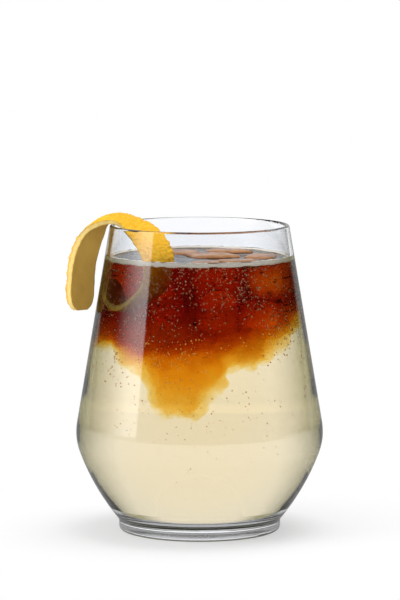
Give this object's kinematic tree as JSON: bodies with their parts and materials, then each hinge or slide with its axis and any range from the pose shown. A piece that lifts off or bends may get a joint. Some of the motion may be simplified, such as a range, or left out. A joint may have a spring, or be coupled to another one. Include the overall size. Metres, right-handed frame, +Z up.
{
  "type": "iced coffee in a glass",
  "caption": "Stemless tumbler of iced coffee poured over pale sparkling tonic, with a foam line at the glass and a curl of lemon peel over the rim.",
  "frame": {"origin": "on the glass's axis, at the face that its foot stands on", "axes": "+Z up; the front of the drink faces -Y, and the peel hangs over the rim on the -X side"},
  "size_m": [0.0991, 0.0952, 0.1222],
  "materials": {
    "glass": "clear, smooth",
    "tonic": "pale, slightly cloudy liquid",
    "coffee": "dark translucent liquid",
    "froth": "fine foam",
    "zest": "waxy, pitted skin"
  },
  "bodies": {
    "root": {"glass": "glass", "tonic": "tonic", "coffee": "coffee", "froth": "froth", "peel": "zest"}
  },
  "joints": []
}
